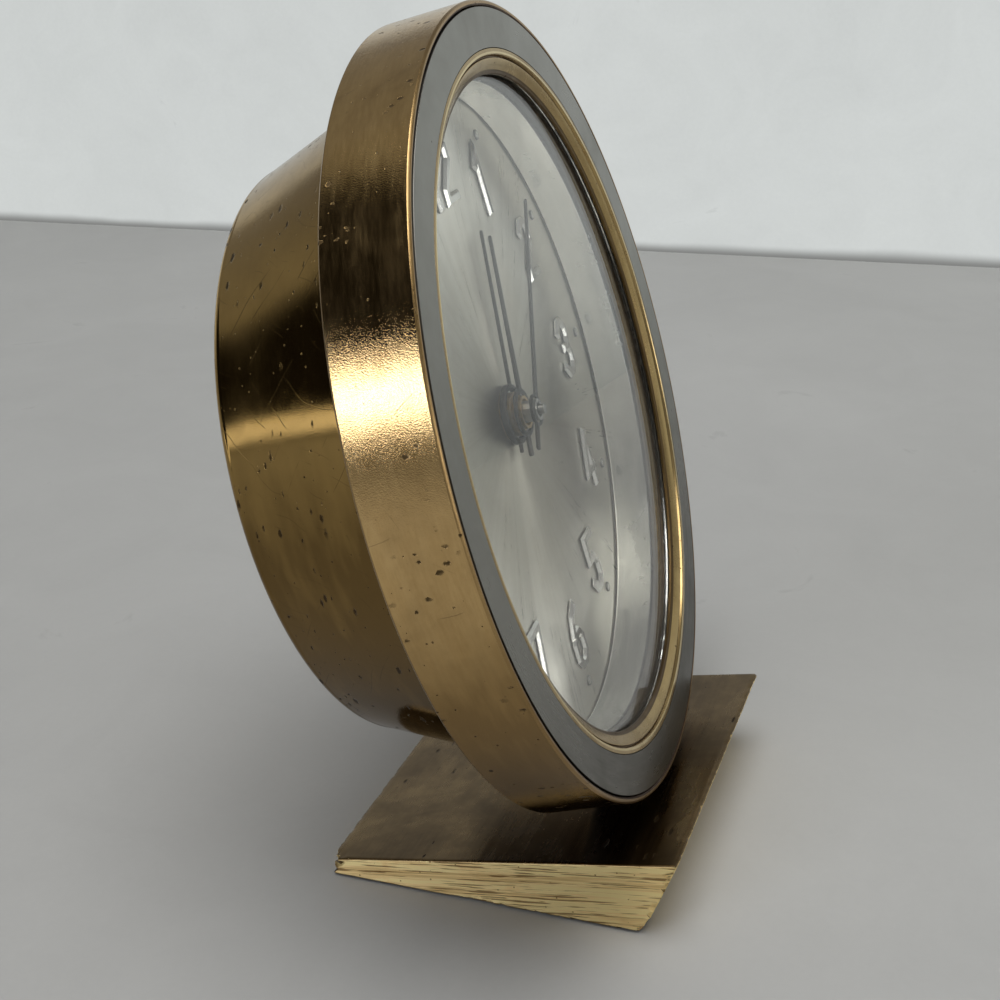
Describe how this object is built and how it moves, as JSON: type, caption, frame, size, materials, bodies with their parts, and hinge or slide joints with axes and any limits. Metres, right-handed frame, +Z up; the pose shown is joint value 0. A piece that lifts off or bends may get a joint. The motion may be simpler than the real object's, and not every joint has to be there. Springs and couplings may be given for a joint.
{
  "type": "wind-up alarm clock",
  "caption": "Round brass wind-up desk alarm clock leaning back on a solid wedge foot, with a raised-numeral silver dial, a tapered rear drum and winding keys behind.",
  "frame": {"origin": "centre of the foot's underside, on the table", "axes": "+Z up, the dial faces -Y, +X towards 3 o'clock"},
  "size_m": [0.092, 0.0559, 0.0987],
  "materials": {
    "brass": "brushed, worn brass",
    "polished_brass": "polished, tarnished brass",
    "gilt": "gilt, satin",
    "grey_steel": "satin grey",
    "silver": "sunburst brushed silver",
    "pale_silver": "pale satin",
    "dark_steel": "dark satin",
    "steel": "fine turned",
    "blued_steel": "blued",
    "rubber": "matt black",
    "crystal": "clear, polished",
    "felt": "brown felt"
  },
  "bodies": {
    "case": {"foot_wedge": "brass", "foot_pad": "felt", "case_saddle": "brass", "foot_screw": "steel", "case_rim": "brass", "front_annulus": "grey_steel", "inner_bezel": "gilt", "crystal_gasket": "rubber", "crystal": "crystal", "recess_wall": "pale_silver", "dial": "silver", "rear_drum": "polished_brass", "back_cover": "brass", "cover_screw_1": "steel", "cover_screw_2": "steel", "cover_screw_3": "steel", "movement_front_plate": "brass", "movement_rear_plate": "brass", "movement_pillar_1": "brass", "movement_pillar_2": "brass", "movement_pillar_3": "brass", "movement_pillar_4": "brass"},
    "minute_arbor": {"centre_arbor": "steel", "cannon_pinion": "steel", "minute_hand": "dark_steel", "hand_set_knob": "brass"},
    "hour_pipe": {"hour_wheel": "brass", "hour_hand": "dark_steel"},
    "minute_wheel_body": {"minute_wheel": "brass"},
    "alarm_pipe": {"alarm_wheel": "brass", "alarm_hand": "dark_steel"},
    "alarm_setting": {"alarm_set_arbor": "steel", "alarm_set_knob": "brass"},
    "third_wheel_body": {"third_wheel": "brass"},
    "centre_wheel_body": {"centre_wheel": "brass"},
    "escape_wheel_body": {"escape_wheel": "brass"},
    "going_barrel_body": {"going_barrel": "brass", "going_spring": "blued_steel"},
    "going_winding": {"going_winding_arbor": "steel", "going_key": "brass"},
    "pallet": {"pallet_lever": "steel"},
    "balance": {"balance_wheel": "brass", "hairspring": "blued_steel"},
    "regulator": {"regulator_lever": "steel"},
    "alarm_barrel_body": {"alarm_barrel": "brass", "alarm_spring": "blued_steel"},
    "strike_wheel_body": {"strike_wheel": "brass"},
    "alarm_winding": {"alarm_winding_arbor": "steel", "alarm_key": "brass"},
    "hammer": {"alarm_hammer": "steel"},
    "alarm_stop": {"alarm_stop_button": "brass"}
  },
  "joints": [
    {"name": "minute_arbor_turn", "type": "hinge", "parent": "case", "child": "minute_arbor", "pos_m": [0, -0.00503, 0.05448], "axis": [0, 0.9627, -0.2706], "continuous": true},
    {"name": "hour_pipe_turn", "type": "hinge", "parent": "case", "child": "hour_pipe", "pos_m": [0, -0.00503, 0.05448], "axis": [0, 0.9627, -0.2706], "continuous": true},
    {"name": "minute_wheel_turn", "type": "hinge", "parent": "case", "child": "minute_wheel_body", "pos_m": [0.00304, -0.0068, 0.0482], "axis": [0, 0.9627, -0.2706], "continuous": true},
    {"name": "alarm_pipe_turn", "type": "hinge", "parent": "case", "child": "alarm_pipe", "pos_m": [0, -0.00503, 0.05448], "axis": [0, 0.9627, -0.2706], "continuous": true},
    {"name": "alarm_setting_turn", "type": "hinge", "parent": "case", "child": "alarm_setting", "pos_m": [-0.00935, -0.00357, 0.05968], "axis": [0, 0.9627, -0.2706], "continuous": true},
    {"name": "third_wheel_turn", "type": "hinge", "parent": "case", "child": "third_wheel_body", "pos_m": [0.00194, -0.00205, 0.06509], "axis": [0, 0.9627, -0.2706], "continuous": true},
    {"name": "centre_wheel_turn", "type": "hinge", "parent": "case", "child": "centre_wheel_body", "pos_m": [0, -0.00503, 0.05448], "axis": [0, 0.9627, -0.2706], "continuous": true},
    {"name": "escape_wheel_turn", "type": "hinge", "parent": "case", "child": "escape_wheel_body", "pos_m": [0.00984, -0.00127, 0.06786], "axis": [0, 0.9627, -0.2706], "continuous": true},
    {"name": "going_barrel_turn", "type": "hinge", "parent": "case", "child": "going_barrel_body", "pos_m": [-0.00702, -0.00774, 0.04483], "axis": [0, 0.9627, -0.2706], "continuous": true},
    {"name": "going_winding_turn", "type": "hinge", "parent": "case", "child": "going_winding", "pos_m": [-0.00702, -0.00774, 0.04483], "axis": [0, 0.9627, -0.2706], "range_deg": [0, 1440]},
    {"name": "pallet_swing", "type": "hinge", "parent": "case", "child": "pallet", "pos_m": [0.01548, -0.00183, 0.06588], "axis": [0, 0.9627, -0.2706], "range_deg": [-6, 6]},
    {"name": "balance_swing", "type": "hinge", "parent": "case", "child": "balance", "pos_m": [0.02205, -0.00247, 0.06358], "axis": [0, 0.9627, -0.2706], "range_deg": [-120, 120], "stiffness_Nm_per_rad": 0.0000014},
    {"name": "regulator_swing", "type": "hinge", "parent": "case", "child": "regulator", "pos_m": [0.02205, -0.00247, 0.06358], "axis": [0, 0.9627, -0.2706], "range_deg": [-20, 20]},
    {"name": "alarm_barrel_turn", "type": "hinge", "parent": "case", "child": "alarm_barrel_body", "pos_m": [0.0135, -0.00841, 0.04245], "axis": [0, 0.9627, -0.2706], "continuous": true},
    {"name": "strike_wheel_turn", "type": "hinge", "parent": "case", "child": "strike_wheel_body", "pos_m": [0.02023, -0.00659, 0.04893], "axis": [0, 0.9627, -0.2706], "continuous": true},
    {"name": "alarm_winding_turn", "type": "hinge", "parent": "case", "child": "alarm_winding", "pos_m": [0.0135, -0.00841, 0.04245], "axis": [0, 0.9627, -0.2706], "range_deg": [0, 1080]},
    {"name": "hammer_swing", "type": "hinge", "parent": "case", "child": "hammer", "pos_m": [0.0242, -0.00828, 0.04293], "axis": [0, 0.9627, -0.2706], "range_deg": [-8, 9]},
    {"name": "alarm_stop_slide", "type": "slide", "parent": "case", "child": "alarm_stop", "axis": [0, 0.9627, -0.2706], "range_m": [0, 0.0025]}
  ],
  "couplings": [
    {"joint": "hour_pipe_turn", "follows": "minute_arbor_turn", "ratio": 0.083333},
    {"joint": "minute_wheel_turn", "follows": "minute_arbor_turn", "ratio": -0.33333},
    {"joint": "alarm_setting_turn", "follows": "alarm_pipe_turn", "ratio": -4},
    {"joint": "centre_wheel_turn", "follows": "third_wheel_turn", "ratio": -0.16667},
    {"joint": "escape_wheel_turn", "follows": "third_wheel_turn", "ratio": -6},
    {"joint": "going_barrel_turn", "follows": "third_wheel_turn", "ratio": 0.033333},
    {"joint": "strike_wheel_turn", "follows": "alarm_barrel_turn", "ratio": -5}
  ]
}
